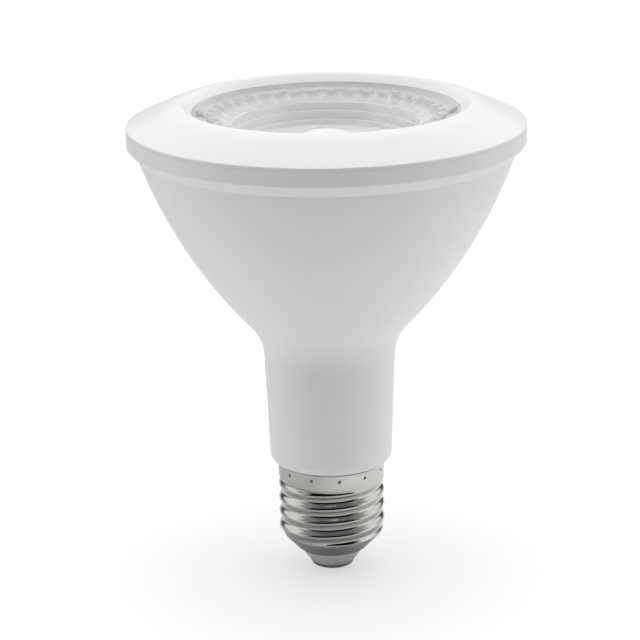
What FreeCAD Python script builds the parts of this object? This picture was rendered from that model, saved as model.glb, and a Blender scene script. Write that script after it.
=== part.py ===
"""Reflector-shaped spotlight lamp with a screw cap, standing on its centre contact.

Millimetres. Z runs along the lamp's axis, from the tip of the centre contact up to the lens.
"""
import FreeCAD, Part
import math
import os
import re
import Sketcher

# Driving sizes: name, value, what it is. Each height is a step from what lies below it, and
# each radius of the lens and bezel a step out from the one inside it.
SIZES = (
    ("contact_radius", 5.3, "centre contact, widest radius"),
    ("contact_thickness", 1.0, "centre contact, height of its cup"),
    ("contact_rounding", 0.85, "rounding under the centre contact"),
    ("stem_radius", 1.4, "contact stem"),
    ("stem_length", 6.0, "contact stem, above the cup"),
    ("stem_bore_radius", 0.6, "blind bore that takes the live lead"),
    ("insulator_ledge", 0.1, "insulator's foot beyond the contact"),
    ("insulator_rise", 4.0, "insulator's cone that shows below the screw shell"),
    ("insulator_wall", 1.5, "insulator wall"),
    ("insulator_rim", 1.0, "upright rim of the insulator inside the shell"),
    ("insulator_floor_rise", 0.9, "insulator's inner floor above the shell's lip"),
    ("insulator_inset", 1.38, "insulator's rim inside the thread root"),
    ("lip_radius", 8.8, "outer radius of the screw shell's lower lip"),
    ("taper_angle", 43.0, "shell taper, degrees off the axis"),
    ("taper_blend", 0.7, "rounding between the taper and the thread"),
    ("sheet", 0.3, "sheet that the screw shell is rolled from"),
    ("crest_radius", 13.1, "thread crest, and the plain collar above it"),
    ("thread_depth", 1.0, "crest to root"),
    ("thread_pitch", 3.629, "seven threads to the inch"),
    ("thread_length", 18.2, "from the shell's lip to the plain collar"),
    ("thread_runout", 0.7, "height over which the thread fades into the collar"),
    ("crest_lift", 14.69, "a crest on the +X side above the lip"),
    ("collar_length", 4.3, "plain collar"),
    ("crimp_rise", 1.8, "ring of crimp punches above the spigot's lower end"),
    ("crimp_radius", 0.42, "radius of a crimp punch"),
    ("crimp_depth", 0.45, "depth of a crimp punch in the spigot"),
    ("crimp_turn", 8.4, "direction of the first crimp punch, degrees"),
    ("cap_fit", 0.06, "gap between the shell and what it holds"),
    ("spigot_gap", 1.1, "lower end of the housing's spigot above the thread"),
    ("spigot_wall", 1.5, "wall of the spigot"),
    ("shoulder_gap", 0.86, "underside of the housing above the shell's upper edge"),
    ("shoulder_overhang", 1.23, "outer edge of that underside beyond the shell"),
    ("shoulder_rise", 1.74, "height of the rounded shoulder"),
    ("shoulder_run", 0.7, "width of the rounded shoulder"),
    ("shoulder_rounding", 2.5, "rounding above the underside"),
    ("neck_length", 24.75, "straight neck"),
    ("neck_draft", 2.15, "neck draft, degrees"),
    ("waist_rounding", 13.25, "hollow rounding between neck and bowl"),
    ("bowl_rounding", 118.2, "outward curve of the bowl wall"),
    ("bowl_length", 50.75, "from the neck's top to the flange"),
    ("flange_step", 2.55, "flange beyond the top of the bowl"),
    ("flange_flare", 2.8, "height of the sloped underside of the flange"),
    ("flange_height", 3.55, "upright side of the flange"),
    ("neck_wall", 1.5, "plastic wall in the neck"),
    ("bowl_wall", 1.7, "plastic wall in the bowl"),
    ("board_step", 0.1, "seat of the driver board above the neck's foot"),
    ("ledge_drop", 1.4, "ledge of the heat sink below the flange's upright side"),
    ("rib_length", 15.0, "guide ribs for the driver board"),
    ("rib_thickness", 1.3, "one guide rib"),
    ("rib_grip", 1.3, "overlap of guide ribs and driver board"),
    ("board_fit", 0.1, "gap on each face of the driver board in its guides"),
    ("sink_fit", 0.3, "gap between the heat sink and the housing"),
    ("sink_sheet", 1.2, "drawn aluminium of the heat sink"),
    ("sink_depth", 11.0, "heat sink's floor below the ledge"),
    ("sink_bend", 3.0, "bend radius inside the heat sink"),
    ("pad_radius", 15.6, "thermal pad"),
    ("pad_thickness", 0.3, "thermal pad"),
    ("led_board_radius", 16.0, "light source board"),
    ("led_board_thickness", 1.6, "light source board"),
    ("screw_circle", 12.9, "board screws, distance from the axis"),
    ("screw_radius", 1.45, "board screw, thread"),
    ("screw_fit", 0.1, "gap around a board screw"),
    ("screw_head_radius", 2.7, "board screw, head"),
    ("screw_head_height", 1.7, "board screw, head"),
    ("screw_length", 5.0, "board screw, under the head"),
    ("dam_radius", 8.2, "dam around the phosphor"),
    ("dam_width", 1.0, "dam around the phosphor"),
    ("dam_height", 0.9, "dam around the phosphor"),
    ("phosphor_height", 0.7, "phosphor fill"),
    ("lens_flange_thickness", 2.0, "lens flange under the bezel"),
    ("lens_wall", 2.4, "lens sheet"),
    ("lens_fit", 0.2, "gap between the lens and the bezel"),
    ("lens_overlap", 2.7, "lens beyond the bezel's opening"),
    ("lens_cone_gap", 0.6, "lens cone inside the bezel's skirt"),
    ("bump_radius", 6.2, "bump at the lens centre"),
    ("bump_side", 2.8, "steep side of the bump"),
    ("bump_rise", 1.0, "crown of the bump above its side"),
    ("floor_width", 13.3, "lens floor from the bump to the lowest riser"),
    ("floor_fall", 0.5, "fall of the lens floor to the bump"),
    ("riser_lean", 0.45, "outward lean of each riser, and of the bump's side"),
    ("lower_riser", 1.13, "riser above the lens floor"),
    ("middle_riser", 2.0, "riser above the lower tread"),
    ("upper_riser", 2.0, "riser above the middle tread"),
    ("tread_width", 0.7, "tread between two risers"),
    ("tread_edge", 0.15, "rounding of each tread's edge"),
    ("flute_run", 2.65, "width of the fluted wall"),
    ("flute_fall", 1.8, "fall of the fluted wall"),
    ("flute_radius", 4.0, "hollow of one flute"),
    ("flute_depth", 0.5, "depth of one flute"),
    ("bead_curve", 2.4, "radius of a bead's cap"),
    ("bead_cut", 40.0, "latitude where a bead's cap is cut off, degrees"),
    ("bead_rise", 0.6, "bead above the land that carries it"),
    ("bead_overlap", 0.3, "bead over the top of the fluted wall"),
    ("bead_fall", 0.5, "fall of the land that carries the beads"),
    ("bead_land", 0.06, "land outside the beads"),
    ("bead_turn", 2.0, "direction of the first bead, degrees"),
    ("bead_count", 36, "beads, and flutes between and below them"),
    ("dish_width", 2.0, "plain slope around the beads"),
    ("dish_fall", 0.7, "fall of the plain slope around the beads"),
    ("aperture_margin", 1.263, "flat of the lens inside the bezel's opening"),
    ("bezel_width", 15.2, "bezel from its opening to its side"),
    ("bezel_side", 0.8, "upright side of the bezel"),
    ("bezel_rise", 4.75, "crown of the bezel above its side"),
    ("crown_flat", 0.67, "flat of the crown beside the opening's rounding"),
    ("aperture_rounding", 0.9, "rounding of the bezel's opening"),
    ("crown_rounding", 12.0, "curve from the crown to the bezel's slope"),
    ("bezel_wall", 1.5, "bezel wall"),
    ("bezel_edge", 0.3, "rounding of the bezel's outer edge"),
    ("skirt_wall", 1.5, "bezel skirt inside the housing"),
    ("skirt_fit", 0.15, "gap around the bezel skirt"),
    ("board_thickness", 1.2, "driver board"),
    ("board_margin", 0.83, "driver board's edge inside the neck's wall"),
    ("board_headroom", 7.8, "driver board's upper edge below the heat sink"),
    ("tongue_half_width", 8.0, "driver board, tongue inside the cap"),
    ("tongue_length", 16.2, "driver board, tongue inside the cap"),
    ("lead_radius", 0.5, "inner leads"),
    ("lead_fit", 0.05, "gap beside a lead"),
    ("lead_hole_fit", 0.6, "gap around a lead in the heat sink and the pad"),
    ("lead_margin", 1.5, "leads to the light source inside the driver board's edge"),
    ("shell_lead_margin", 1.5, "lead to the screw shell inside the tongue's edge"),
    ("lead_bend", 2.0, "bend of the inner leads"),
    ("lead_joint", 6.0, "length of a lead along the driver board"),
    ("bulk_radius", 5.0, "input capacitor"),
    ("bulk_length", 16.0, "input capacitor"),
    ("output_radius", 4.0, "output capacitor"),
    ("output_length", 12.0, "output capacitor"),
    ("can_rounding", 0.4, "rounding of a capacitor's foot"),
    ("can_crimp", 0.25, "depth of the crimp round a capacitor"),
    ("film_length", 10.0, "film capacitor, across the board"),
    ("film_width", 9.0, "film capacitor, up the board"),
    ("film_height", 4.6, "film capacitor, off the board"),
    ("film_rounding", 0.7, "film capacitor, edges"),
    ("core_size", 13.0, "transformer core, square outline"),
    ("core_depth", 5.0, "transformer core, thickness"),
    ("core_leg", 2.2, "transformer core, outer leg"),
    ("core_centre", 3.6, "transformer core, centre leg"),
    ("bobbin_wall", 0.6, "transformer bobbin"),
    ("winding_room", 0.2, "transformer winding, gap to the outer leg"),
    ("winding_fit", 0.05, "gap between a winding or bobbin and its core"),
    ("choke_radius", 4.0, "choke flange"),
    ("choke_height", 8.0, "choke, off the board"),
    ("choke_flange", 1.2, "choke flange"),
    ("choke_barrel", 1.8, "choke barrel"),
    ("choke_winding_depth", 1.7, "choke winding, build-up"),
    ("varistor_radius", 3.6, "varistor"),
    ("varistor_thickness", 3.4, "varistor"),
    ("varistor_offset", 4.5, "varistor, distance from the middle"),
    ("fuse_radius", 1.6, "fuse resistor"),
    ("fuse_length", 7.0, "fuse resistor"),
    ("fuse_cap", 1.2, "fuse resistor, end cap"),
    ("fuse_drop", 1.7, "fuse resistor, upper end below the board's seat"),
    ("fuse_offset", 4.0, "fuse resistor, distance from the middle"),
    ("leg_width", 0.45, "leg of a moulded package"),
    ("leg_sheet", 0.2, "leg of a moulded package, thickness"),
    ("leg_reach", 0.85, "leg of a moulded package, beyond its side"),
    ("package_gap", 0.1, "moulded package, gap to the board"),
    ("bridge_length", 4.7, "bridge rectifier, up the board"),
    ("bridge_height", 2.4, "bridge rectifier, off the board"),
    ("bridge_pitch", 2.5, "bridge rectifier, spacing of its legs"),
    ("chip_length", 4.9, "control chip, up the board"),
    ("chip_height", 1.5, "control chip, off the board"),
    ("chip_pitch", 1.27, "control chip, spacing of its legs"),
    ("diode_length", 4.2, "output diode, up the board"),
    ("diode_height", 2.1, "output diode, off the board"),
    ("package_width", 3.9, "bridge rectifier and control chip, body"),
    ("diode_width", 2.6, "output diode, body"),
    ("diode_margin", 4.7, "output diode inside the driver board's edge"),
    ("resistor_offset", 7.5, "chip resistors, distance from the middle"),
    ("resistor_pitch", 3.0, "chip resistors, spacing up the board"),
    ("resistor_length", 3.1, "chip resistor, across the board"),
    ("resistor_width", 1.55, "chip resistor, up the board"),
    ("resistor_height", 0.6, "chip resistor, off the board"),
)

# Sizes that follow from the driving ones, in the order that they are worked out
FOLLOWING = (
    ("stem_top", "contact_thickness + stem_length"),
    ("insulator_foot_radius", "contact_radius + insulator_ledge"),
    ("lip_height", "contact_thickness + insulator_rise"),
    ("insulator_floor", "lip_height + insulator_floor_rise"),
    ("insulator_radius", "crest_radius - thread_depth - sheet - cap_fit - insulator_inset"),
    ("taper_gap", "(sheet + cap_fit) / cos(taper_angle)"),
    ("insulator_shelf", "lip_height + (insulator_radius + taper_gap - lip_radius) / tan(taper_angle)"),
    ("insulator_top", "insulator_shelf + insulator_rim"),
    ("collar_foot", "lip_height + thread_length"),
    ("collar_top", "collar_foot + collar_length"),
    ("crest_height", "lip_height + crest_lift"),
    ("spigot_radius", "crest_radius - sheet - cap_fit"),
    ("spigot_foot", "collar_foot + spigot_gap"),
    ("crimp_height", "spigot_foot + crimp_rise"),
    ("shoulder_height", "collar_top + shoulder_gap"),
    ("shoulder_radius", "crest_radius + shoulder_overhang"),
    ("neck_foot", "shoulder_height + shoulder_rise"),
    ("neck_foot_radius", "shoulder_radius + shoulder_run"),
    ("neck_top", "neck_foot + neck_length"),
    ("bowl_top", "neck_top + bowl_length"),
    ("flange_foot", "bowl_top + flange_flare"),
    ("seam_height", "flange_foot + flange_height"),
    ("bezel_shoulder", "seam_height + bezel_side"),
    ("crown_height", "bezel_shoulder + bezel_rise"),
    ("board_seat", "neck_foot + board_step"),
    ("ledge_height", "flange_foot - ledge_drop"),
    ("sink_floor", "ledge_height - sink_depth"),
    ("pad_top", "sink_floor + pad_thickness"),
    ("led_board_top", "pad_top + led_board_thickness"),
    ("lens_top", "crown_height - bezel_wall - lens_fit"),
    ("bead_seat", "lens_top - dish_fall"),
    ("flute_top", "bead_seat - bead_fall"),
    ("flute_foot", "flute_top - flute_fall"),
    ("middle_tread", "flute_foot - upper_riser"),
    ("lower_tread", "middle_tread - middle_riser"),
    ("lens_floor", "lower_tread - lower_riser"),
    ("bump_foot", "lens_floor - floor_fall"),
    ("bump_edge", "bump_foot + bump_side"),
    ("lens_seat", "ledge_height + sink_sheet"),
    ("flange_top", "lens_seat + lens_flange_thickness"),
    ("floor_radius", "bump_radius + floor_width"),
    ("lower_tread_radius", "floor_radius + riser_lean + tread_width"),
    ("middle_tread_radius", "lower_tread_radius + riser_lean + tread_width"),
    ("flute_foot_radius", "middle_tread_radius + riser_lean + tread_width"),
    ("flute_top_radius", "flute_foot_radius + flute_run"),
    ("bead_reach", "bead_curve * cos(bead_cut)"),
    ("bead_circle", "flute_top_radius + bead_reach - bead_overlap"),
    ("dish_foot_radius", "bead_circle + bead_reach + bead_land"),
    ("dish_radius", "dish_foot_radius + dish_width"),
    ("aperture_radius", "dish_radius + aperture_margin"),
    ("lens_shoulder", "aperture_radius + lens_overlap"),
    ("rim_radius", "aperture_radius + bezel_width"),
    ("flange_bore", "rim_radius - bowl_wall"),
    ("skirt_radius", "flange_bore - skirt_fit"),
    # Bezel slope: the tangent from the shoulder to the crown's curve
    ("crown_radius", "aperture_radius + aperture_rounding + crown_flat"),
    ("slope_run", "rim_radius - crown_radius"),
    ("slope_drop", "crown_rounding - bezel_rise"),
    ("slope_length", "sqrt(slope_run^2 + slope_drop^2 - crown_rounding^2)"),
    ("slope_reach", "slope_run^2 + slope_drop^2"),
    ("slope_sine", "(crown_rounding * slope_run - slope_drop * slope_length) / slope_reach"),
    ("slope_cosine", "(crown_rounding * slope_drop + slope_run * slope_length) / slope_reach"),
    # Neck, waist and bowl: arcs that touch each other and meet the flange
    ("waist_radius", "neck_foot_radius + neck_length * tan(neck_draft) + waist_rounding * cos(neck_draft)"),
    ("waist_height", "neck_top - waist_rounding * sin(neck_draft)"),
    ("bowl_run", "rim_radius - flange_step - waist_radius"),
    ("bowl_climb", "bowl_top - waist_height"),
    ("bowl_reach", "sqrt(bowl_run^2 + bowl_climb^2)"),
    ("bowl_arm", "waist_rounding + bowl_rounding"),
    ("bowl_along", "(bowl_arm^2 - bowl_rounding^2 + bowl_reach^2) / (2 * bowl_reach)"),
    ("bowl_aside", "sqrt(bowl_arm^2 - bowl_along^2)"),
    ("bowl_centre_radius", "waist_radius + (bowl_run * bowl_along - bowl_climb * bowl_aside) / bowl_reach"),
    ("bowl_centre_height", "waist_height + (bowl_climb * bowl_along + bowl_run * bowl_aside) / bowl_reach"),
    ("bowl_cosine", "(waist_radius - bowl_centre_radius) / bowl_arm"),
    ("bowl_sine", "(bowl_centre_height - waist_height) / bowl_arm"),
    # Driver board, with even gaps between the parts on each face
    ("board_half_width", "neck_foot_radius - neck_wall - board_margin"),
    ("board_top", "sink_floor - sink_sheet - board_headroom"),
    ("tongue_foot", "board_seat - tongue_length"),
    ("board_face", "board_thickness / 2"),
    ("lead_line", "board_face + lead_radius + lead_fit"),
    ("lead_offset", "board_half_width - lead_margin"),
    ("diode_offset", "board_half_width - diode_margin"),
    ("fuse_station", "board_seat - fuse_drop - fuse_length"),
    ("front_parts", "2 * varistor_radius + 2 * choke_radius + bulk_length + output_length"),
    ("front_gap", "(board_top - board_seat - front_parts) / 5"),
    ("varistor_station", "board_seat + front_gap + varistor_radius"),
    ("choke_station", "varistor_station + varistor_radius + front_gap + choke_radius"),
    ("bulk_station", "choke_station + choke_radius + front_gap"),
    ("output_station", "bulk_station + bulk_length + front_gap"),
    ("back_parts", "bridge_length + film_width + chip_length + core_size + diode_length"),
    ("back_gap", "(board_top - board_seat - back_parts) / 6"),
    ("bridge_station", "board_seat + back_gap + bridge_length / 2"),
    ("film_station", "bridge_station + bridge_length / 2 + back_gap"),
    ("chip_station", "film_station + film_width + back_gap + chip_length / 2"),
    ("transformer_station", "chip_station + chip_length / 2 + back_gap + core_size / 2"),
    ("diode_station", "transformer_station + core_size / 2 + back_gap + diode_length / 2"),
    ("core_window", "core_size - 2 * core_leg"),
    ("winding_depth", "(core_window - core_centre) / 2 - bobbin_wall - winding_room"),
    ("transformer_line", "board_face + core_depth / 2 + bobbin_wall + winding_depth"),
)

DRIVING_NAMES = {name for name, _, _ in SIZES}
FOLLOWING_NAMES = {name for name, _ in FOLLOWING}

document = FreeCAD.newDocument("spotlight_lamp")
sheet = document.addObject("Spreadsheet::Sheet", "Dims")
for row, (name, size, note) in enumerate(SIZES, start=1):
    sheet.set("A%d" % row, note)
    sheet.set("B%d" % row, str(size))
    sheet.setAlias("B%d" % row, name)
document.recompute()


def tied(expression):
    """Point every size that an expression names at the sheet, or at the sizes worked out from it."""
    def replace(word):
        name = word.group(0)
        if name in DRIVING_NAMES:
            return "Dims." + name
        return "Worked." + name if name in FOLLOWING_NAMES else name
    return re.sub(r"[a-z]+(?:_[a-z]+)*", replace, str(expression))


worked = document.addObject("App::VarSet", "Worked")
for name, expression in FOLLOWING:
    worked.addProperty("App::PropertyFloat", name, "Following sizes")
    worked.setExpression(name, tied(expression))
document.recompute()


def number(expression):
    """Present value of an expression in the named sizes."""
    return float(sheet.evalExpression(tied(expression)))


# Sketches and bodies

def new_body(label):
    body = document.addObject("PartDesign::Body", label)
    body.Label = label
    return body


def new_sketch(body, name, role="XZ_Plane"):
    sketch = body.newObject("Sketcher::SketchObject", name)
    plane = next(item for item in body.Origin.OriginFeatures if item.Role == role)
    sketch.AttachmentSupport = [(plane, "")]
    sketch.MapMode = "FlatFace"
    return sketch


def arc_centre(start, end, radius, side):
    """Centre of the short arc from start to end, on the named side of the way between them."""
    across = (end[0] - start[0], end[1] - start[1])
    chord = math.hypot(*across)
    reach = math.sqrt(radius * radius - chord * chord / 4) / chord
    turn = 1 if side == "left" else -1
    return (
        (start[0] + end[0]) / 2 - turn * across[1] * reach,
        (start[1] + end[1]) / 2 + turn * across[0] * reach,
    )


def draw(sketch, corners, closed=True):
    """Draw an outline through corners and tie each corner to the sheet.

    A corner is (across, up), reached by a straight edge, or (across, up, radius, side), reached
    by an arc whose centre lies on that side of the way walked.
    """
    points = [(number(corner[0]), number(corner[1])) for corner in corners]
    count = len(corners)
    edges = []
    for index in range(count if closed else count - 1):
        following = (index + 1) % count
        start, end = points[index], points[following]
        if len(corners[following]) == 2:
            edge = Part.LineSegment(FreeCAD.Vector(*start, 0), FreeCAD.Vector(*end, 0))
            edges.append((edge, 1, 2, None))
            continue
        radius, side = corners[following][2:]
        centre = arc_centre(start, end, number(radius), side)
        first, last = (start, end) if side == "left" else (end, start)
        angles = [math.atan2(point[1] - centre[1], point[0] - centre[0]) for point in (first, last)]
        circle = Part.Circle(FreeCAD.Vector(*centre, 0), FreeCAD.Vector(0, 0, 1), number(radius))
        edge = Part.ArcOfCircle(circle, *angles)
        edges.append((edge, 1, 2, radius) if side == "left" else (edge, 2, 1, radius))
    base = sketch.GeometryCount
    sketch.addGeometry([edge[0] for edge in edges], False)
    constraints = []
    expressions = []
    for index, (_, first, last, radius) in enumerate(edges):
        following = (index + 1) % len(edges)
        if closed or following:
            joint = (base + index, last, base + following, edges[following][1])
            constraints.append(Sketcher.Constraint("Coincident", *joint))
        if radius is not None:
            expressions.append((len(constraints), radius))
            constraints.append(Sketcher.Constraint("Radius", base + index, number(radius)))
    for index, corner in enumerate(corners):
        if index < len(edges):
            place = (base + index, edges[index][1])
        else:
            place = (base + index - 1, edges[index - 1][2])
        for kind, axis, expression in (("DistanceX", -2, corner[0]), ("DistanceY", -1, corner[1])):
            if str(expression) == "0":
                constraints.append(Sketcher.Constraint("PointOnObject", *place, axis))
                continue
            expressions.append((len(constraints), expression))
            constraints.append(Sketcher.Constraint(kind, -1, 1, *place, number(expression)))
    offset = sketch.ConstraintCount
    sketch.addConstraint(constraints)
    for index, expression in expressions:
        sketch.setExpression("Constraints[%d]" % (offset + index), tied(expression))


def circle(sketch, across, up, radius):
    """Draw a circle and tie its centre and radius to the sheet."""
    index = sketch.GeometryCount
    centre = FreeCAD.Vector(number(across), number(up), 0)
    sketch.addGeometry(Part.Circle(centre, FreeCAD.Vector(0, 0, 1), number(radius)), False)
    for kind, axis, expression in (("DistanceX", -2, across), ("DistanceY", -1, up)):
        if str(expression) == "0":
            sketch.addConstraint(Sketcher.Constraint("PointOnObject", index, 3, axis))
            continue
        place = sketch.addConstraint(Sketcher.Constraint(kind, -1, 1, index, 3, number(expression)))
        sketch.setExpression("Constraints[%d]" % place, tied(expression))
    place = sketch.addConstraint(Sketcher.Constraint("Radius", index, number(radius)))
    sketch.setExpression("Constraints[%d]" % place, tied(radius))


def turn(body, name, corners, kind="PartDesign::Revolution"):
    """Turn an outline of (radius, height) corners about the lamp's axis."""
    sketch = new_sketch(body, name + "_outline")
    draw(sketch, corners)
    feature = body.newObject(kind, name)
    feature.Profile = sketch
    feature.ReferenceAxis = (sketch, ["V_Axis"])
    feature.Angle = 360
    sketch.Visibility = False
    return feature


def turned(label, corners):
    body = new_body(label)
    turn(body, label + "_turning", corners)
    return body


def pad(body, name, outlines, foot, length, circles=()):
    """Pad outlines drawn across the axis, starting at the height foot."""
    sketch = new_sketch(body, name + "_outline", "XY_Plane")
    sketch.setExpression(".AttachmentOffset.Base.z", tied(foot))
    for outline in outlines:
        draw(sketch, outline)
    for ring in circles:
        circle(sketch, *ring)
    feature = body.newObject("PartDesign::Pad", name)
    feature.Profile = sketch
    feature.setExpression("Length", tied(length))
    return feature


def pocket(body, name, foot, depth, circles):
    """Sink round holes downward from the height foot."""
    sketch = new_sketch(body, name + "_outline", "XY_Plane")
    sketch.setExpression(".AttachmentOffset.Base.z", tied(foot))
    for ring in circles:
        circle(sketch, *ring)
    feature = body.newObject("PartDesign::Pocket", name)
    feature.Profile = sketch
    feature.setExpression("Length", tied(depth))
    return feature


def pattern(body, feature, name, count):
    """Repeat a feature around the lamp's axis."""
    copies = body.newObject("PartDesign::PolarPattern", name)
    copies.Originals = [feature]
    axis = next(item for item in body.Origin.OriginFeatures if item.Role == "Z_Axis")
    copies.Axis = (axis, [""])
    copies.Angle = 360
    copies.Occurrences = int(number(count))
    body.Tip = copies
    return copies


def rectangle(low_x, low_y, high_x, high_y):
    return [(low_x, low_y), (high_x, low_y), (high_x, high_y), (low_x, high_y)]


def place(piece, across, back, up, tilt=0):
    """Set a piece down; tilt turns it about the X direction, in degrees."""
    rotation = FreeCAD.Rotation(FreeCAD.Vector(1, 0, 0), tilt)
    position = FreeCAD.Vector(number(across), number(back), number(up))
    piece.Placement = FreeCAD.Placement(position, rotation)
    for axis, expression in (("x", across), ("y", back), ("z", up)):
        piece.setExpression("Placement.Base." + axis, tied(expression))
    return piece


def attach(feature, body, out, up, tilt, turned_by="0"):
    """Place a primitive at a distance out from the axis, tilted outward and turned about the axis."""
    plane = next(item for item in body.Origin.OriginFeatures if item.Role == "XY_Plane")
    feature.AttachmentSupport = [(plane, "")]
    feature.MapMode = "FlatFace"
    tilted = FreeCAD.Rotation(FreeCAD.Vector(0, 1, 0), tilt)
    spun = FreeCAD.Rotation(FreeCAD.Vector(0, 0, 1), number(turned_by))
    feature.AttachmentOffset = FreeCAD.Placement(FreeCAD.Vector(), spun.multiply(tilted))
    across = "(%s) * cos(%s)" % (out, turned_by)
    back = "(%s) * sin(%s)" % (out, turned_by)
    for axis, expression in (("x", across), ("y", back), ("z", up)):
        feature.setExpression(".AttachmentOffset.Base." + axis, tied(expression))


# Cap

crimp_count = 12


def centre_contact():
    return turned("centre_contact", [
        (0, 0),
        ("contact_radius - contact_rounding", 0),
        ("contact_radius", "contact_rounding", "contact_rounding", "left"),
        ("contact_radius", "contact_thickness"),
        ("stem_radius", "contact_thickness"),
        ("stem_radius", "stem_top"),
        ("stem_bore_radius", "stem_top"),
        ("stem_bore_radius", "contact_thickness"),
        (0, "contact_thickness"),
    ])


def taper_radius(height):
    """Radius of what fits inside the shell's taper at a height."""
    return "lip_radius + (%s - lip_height) * tan(taper_angle) - taper_gap" % height


def cap_insulator():
    bore = "stem_radius + cap_fit"
    return turned("cap_insulator", [
        (bore, "contact_thickness"),
        ("insulator_foot_radius", "contact_thickness"),
        (taper_radius("lip_height"), "lip_height"),
        ("insulator_radius", "insulator_shelf"),
        ("insulator_radius", "insulator_top"),
        ("insulator_radius - insulator_wall", "insulator_top"),
        (taper_radius("insulator_floor") + " - insulator_wall", "insulator_floor"),
        ("stem_radius + insulator_wall", "insulator_floor"),
        ("stem_radius + insulator_wall", "stem_top"),
        (bore, "stem_top"),
    ])


def ramp(position):
    """Smooth step from 0 to 1."""
    held = min(max(position, 0.0), 1.0)
    return held * held * (3 - 2 * held)


def lesser(one, other, blend):
    """The lesser of two radii, rounded where they cross."""
    share = max(blend - abs(one - other), 0.0) / blend
    return min(one, other) - share * share * blend / 4


def shell_radius(angle, height):
    """Outside of the rolled shell at an angle in turns and a height."""
    runout = number("thread_runout")
    phase = 2 * math.pi * ((height - number("crest_height")) / number("thread_pitch") - angle)
    hollow = (1 - math.sin(math.cos(phase)) / math.sin(1)) / 2
    fade = ramp((number("collar_foot") + runout / 2 - height) / runout)
    threaded = number("crest_radius") - number("thread_depth") * hollow * fade
    rise = height - number("lip_height")
    taper = number("lip_radius") + rise * math.tan(math.radians(number("taper_angle")))
    return lesser(taper, threaded, number("taper_blend"))


def shell_surface(heights, inset):
    """Surface of the threaded part, closed around the axis and inset by part of the sheet's thickness."""
    columns = 48
    step = 0.01
    swell = 3 / (2 + math.cos(2 * math.pi / columns))
    poles = []
    for column in range(columns):
        angle = column / columns
        turned_by = 2 * math.pi * angle
        line = []
        for height in heights:
            above = shell_radius(angle, height + step)
            below = shell_radius(angle, height - step)
            slant = math.hypot(1, (above - below) / (2 * step))
            radius = swell * (shell_radius(angle, height) - inset * slant)
            line.append(FreeCAD.Vector(radius * math.cos(turned_by), radius * math.sin(turned_by), height))
        poles.append(line)
    knots_up = list(range(len(heights) - 2))
    uses_up = [4] + [1] * (len(knots_up) - 2) + [4]
    surface = Part.BSplineSurface()
    surface.buildFromPolesMultsKnots(
        poles, [1] * (columns + 1), uses_up, list(range(columns + 1)), knots_up, True, False, 3, 3
    )
    return surface.toShape()


def end_edge(face, height):
    """Round edge of the face at a height."""
    return next(edge for edge in face.Edges
                if edge.isClosed() and abs(edge.Vertexes[0].Z - height) < 0.001)


def threaded_tube(low, high):
    """Thread and taper between two heights, as a solid as thick as the sheet."""
    rows_per_thread = 13
    rows = int((high - low) / number("thread_pitch") * rows_per_thread)
    heights = [low + (high - low) * row / rows for row in range(rows + 1)]
    walls = [shell_surface(heights, inset) for inset in (0, number("sheet"))]
    ends = []
    for height in (low, high):
        rings = [Part.Wire(end_edge(wall, height)) for wall in walls]
        ends.append(Part.makeFace(rings, "Part::FaceMakerBullseye"))
    shell = Part.makeShell(walls + ends)
    shell.sewShape()
    solid = Part.makeSolid(Part.makeShell(shell.Faces))
    if solid.Volume < 0:
        solid.reverse()
    return solid


def plain_tube(low, high, radius):
    """Plain collar between two heights."""
    foot = FreeCAD.Vector(0, 0, low)
    return Part.makeCylinder(radius, high - low, foot).cut(
        Part.makeCylinder(radius - number("sheet"), high - low, foot))


def screw_shell():
    """Rolled sheet shell: the thread shows inside as well as outside, and runs out at both ends."""
    middle = number("collar_foot + thread_runout")
    thread = threaded_tube(number("lip_height"), middle)
    collar = plain_tube(middle, number("collar_top"), number("crest_radius"))
    joint_tolerance = 0.001
    rolled = thread.fuse([collar], joint_tolerance)
    punches = []
    for index in range(crimp_count):
        turned_by = math.radians(number("crimp_turn") + 360 * index / crimp_count)
        outward = FreeCAD.Vector(math.cos(turned_by), math.sin(turned_by), 0)
        start = outward * number("crest_radius - 2 * sheet")
        start.z = number("crimp_height")
        punches.append(Part.makeCylinder(number("crimp_radius"), number("4 * sheet"), start, outward))
    piece = document.addObject("Part::Feature", "screw_shell")
    piece.Label = "screw_shell"
    piece.Shape = rolled.cut(punches)
    piece.Placement = FreeCAD.Placement()
    return piece


# Housing

def neck_radius(height, inset):
    """Radius of the neck wall at a height, inset from its outside."""
    return "neck_foot_radius + (%s - neck_foot) * tan(neck_draft) - %s / cos(neck_draft)" % (height, inset)


def bowl_radius(height, inset):
    """Radius of the bowl wall at a height, inset from its outside."""
    across = "sqrt((bowl_rounding - (%s))^2 - (bowl_centre_height - (%s))^2)" % (inset, height)
    return "bowl_centre_radius + " + across


def bowl_outline(foot, inset, top):
    """Neck, waist and bowl from the height foot up to the height top, inset from the outside."""
    waist = "waist_rounding + (%s)" % inset
    neck_end = "neck_top + (%s) * sin(neck_draft)" % inset
    return [
        (neck_radius(foot, inset), foot),
        (neck_radius(neck_end, inset), neck_end),
        (
            "waist_radius - (%s) * bowl_cosine" % waist,
            "waist_height + (%s) * bowl_sine" % waist,
            waist,
            "right",
        ),
        (bowl_radius(top, inset), top, "bowl_rounding - (%s)" % inset, "left"),
    ]


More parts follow.
